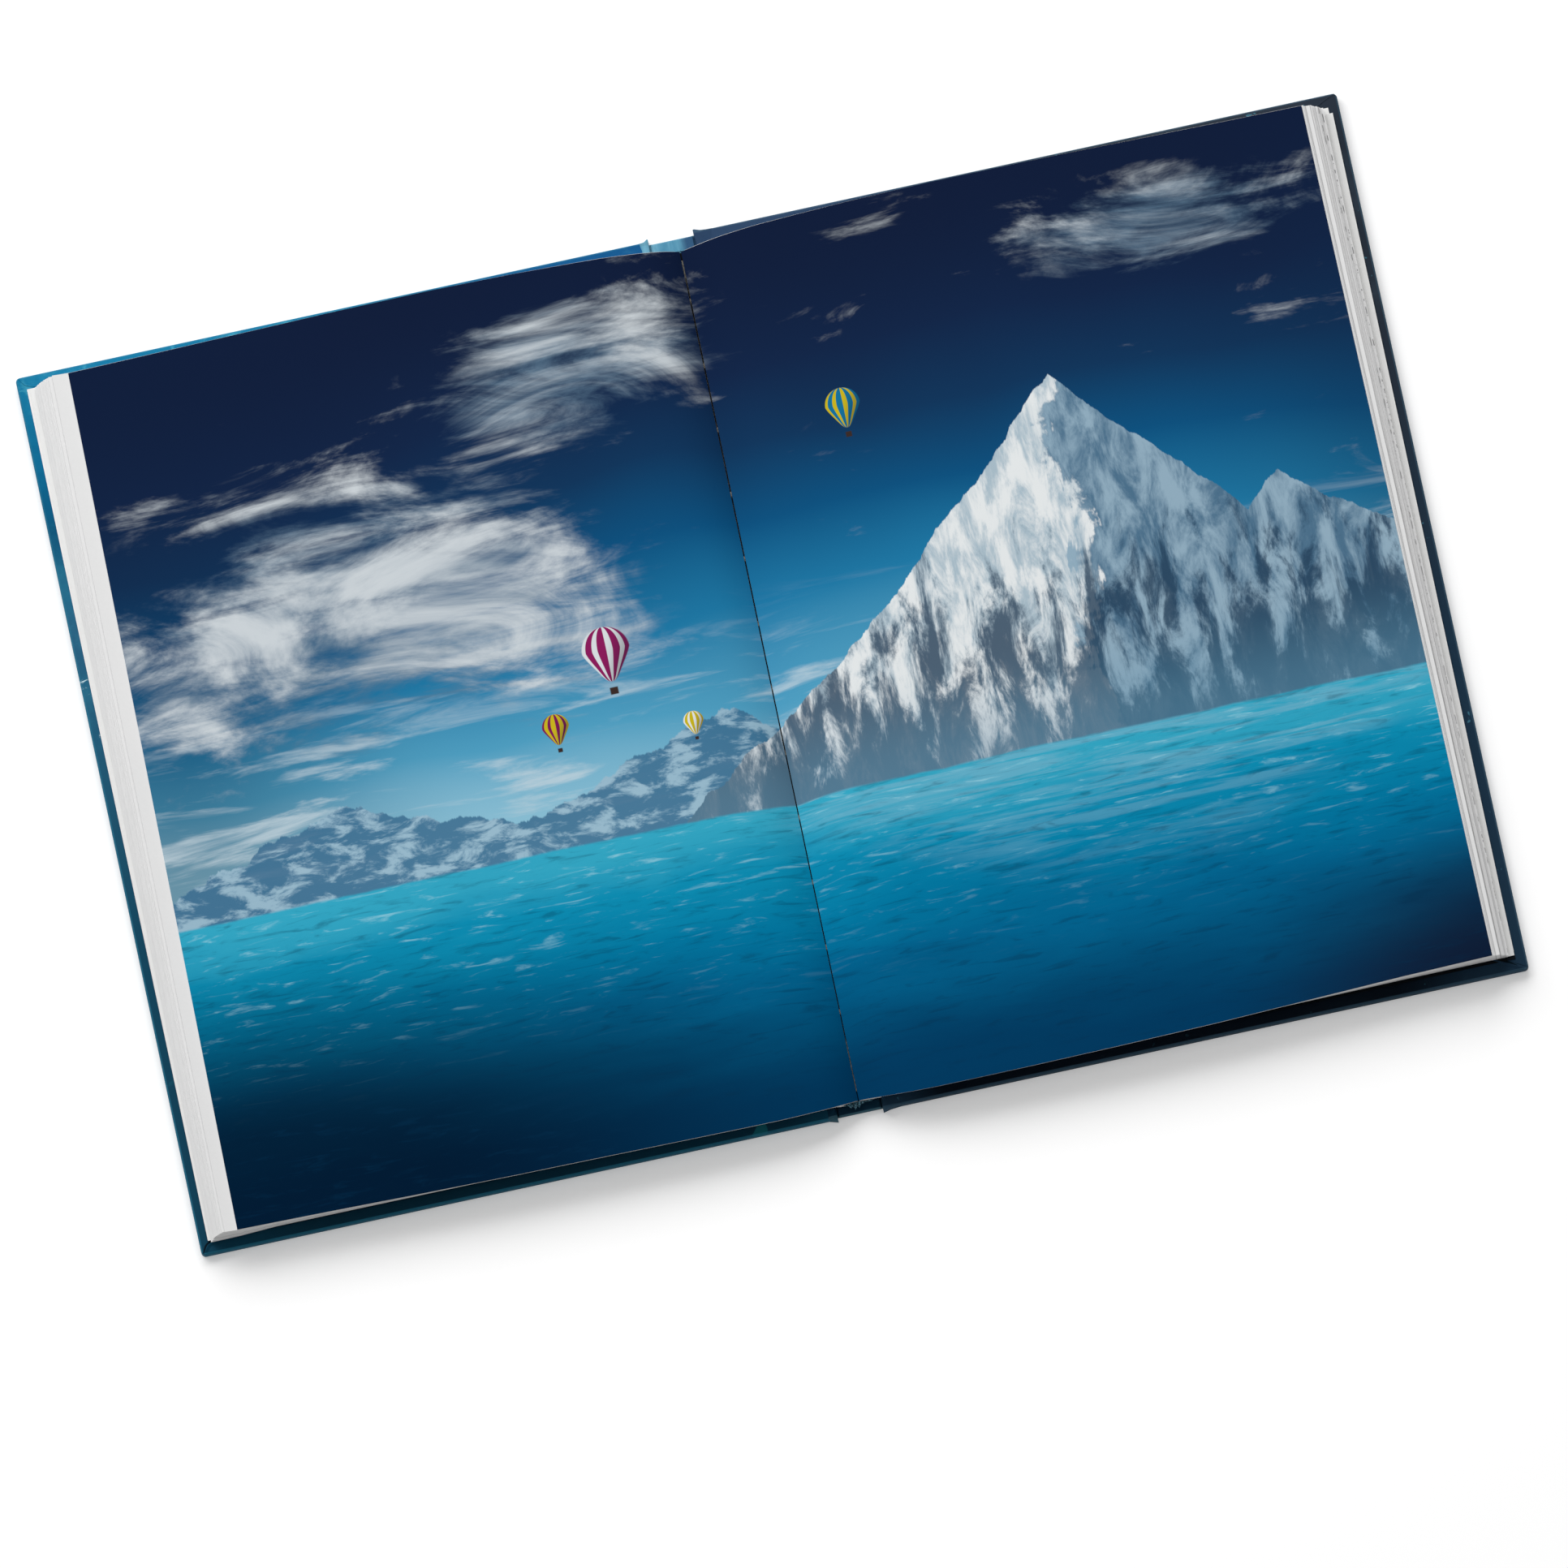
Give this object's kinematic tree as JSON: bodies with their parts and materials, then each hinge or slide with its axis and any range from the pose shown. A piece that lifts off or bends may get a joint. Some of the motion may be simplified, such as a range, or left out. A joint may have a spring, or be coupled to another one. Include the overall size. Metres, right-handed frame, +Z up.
{
  "type": "picture book",
  "caption": "Large open hardcover picture book lying on its two covers, pages fanned at both fore edges, covers hinged at the spine.",
  "frame": {"origin": "on the floor under the middle of the open covers", "axes": "+X across the spread towards the right-hand page, +Y towards the head of the pages, +Z up out of the pages"},
  "size_m": [0.4778, 0.3316, 0.0148],
  "materials": {
    "page_paper": "smooth coated paper",
    "endpaper": "matte white paper",
    "greyboard": "dense grey board",
    "front_cover_paper": "satin laminated printed paper, mottled blue",
    "spine_cover_paper": "satin laminated printed paper, light to dark blue",
    "back_cover_paper": "satin laminated printed paper, dark slate blue",
    "lining": "open-weave mull with glue",
    "thread": "waxed sewing thread",
    "band": "crimped woven band"
  },
  "bodies": {
    "block": {"text_block": "page_paper", "front_fly_leaf": "endpaper", "back_fly_leaf": "endpaper", "spine_wrap": "spine_cover_paper", "spine_stiffener": "greyboard", "spine_lining": "lining", "sewing_thread": "thread", "head_band": "band", "tail_band": "band"},
    "front_cover": {"front_wrap": "front_cover_paper", "front_board": "greyboard", "front_pastedown": "endpaper"},
    "back_cover": {"back_wrap": "back_cover_paper", "back_board": "greyboard", "back_pastedown": "endpaper"}
  },
  "joints": [
    {"name": "front_joint", "type": "hinge", "parent": "block", "child": "front_cover", "pos_m": [-0.0096, 0, 0.00022], "axis": [0, -1, 0], "range_deg": [0, 90]},
    {"name": "back_joint", "type": "hinge", "parent": "block", "child": "back_cover", "pos_m": [0.006, 0, 0.00022], "axis": [0, 1, 0], "range_deg": [0, 90]}
  ]
}
